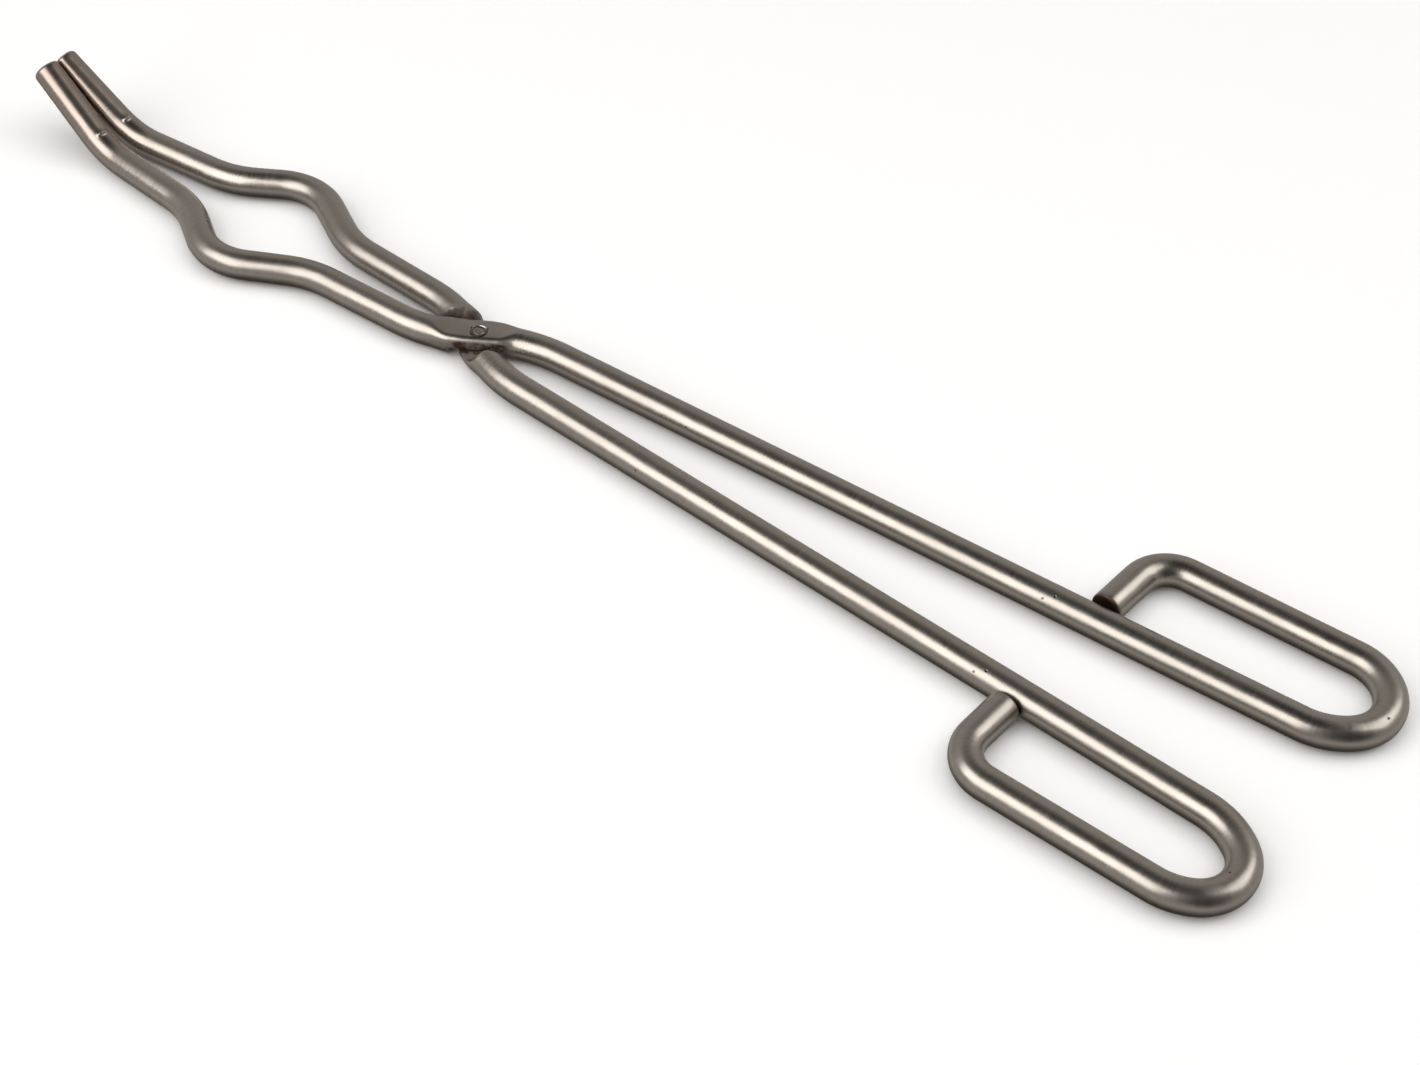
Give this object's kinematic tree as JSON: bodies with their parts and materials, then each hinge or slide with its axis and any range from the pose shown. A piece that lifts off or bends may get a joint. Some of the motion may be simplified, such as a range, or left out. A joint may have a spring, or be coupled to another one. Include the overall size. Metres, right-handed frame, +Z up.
{
  "type": "crucible tongs",
  "caption": "Long all-metal crucible tongs: two bent round bars crossed on a rivet, with finger loops, a bow for the crucible and upturned gripping tips.",
  "frame": {"origin": "on the table, under the middle of the tongs' length and width, with the jaws closed", "axes": "+X from the finger loops to the jaw tips, +Y to the side of the upper arm's jaw, +Z up along the rivet and towards the upturned tips"},
  "size_m": [0.4976, 0.1157, 0.0289],
  "materials": {
    "stainless_bar": "satin ground bar, slightly warm grey, brighter where it was bent",
    "rivet_steel": "peened, darker than the bar"
  },
  "bodies": {
    "lower_arm": {"lower_arm": "stainless_bar", "pivot_rivet": "rivet_steel"},
    "upper_arm": {"upper_arm": "stainless_bar"}
  },
  "joints": [
    {"name": "jaw_pivot", "type": "hinge", "parent": "lower_arm", "child": "upper_arm", "pos_m": [0.0538, 0, 0.005], "axis": [0, 0, 1], "range_deg": [0, 40]}
  ]
}
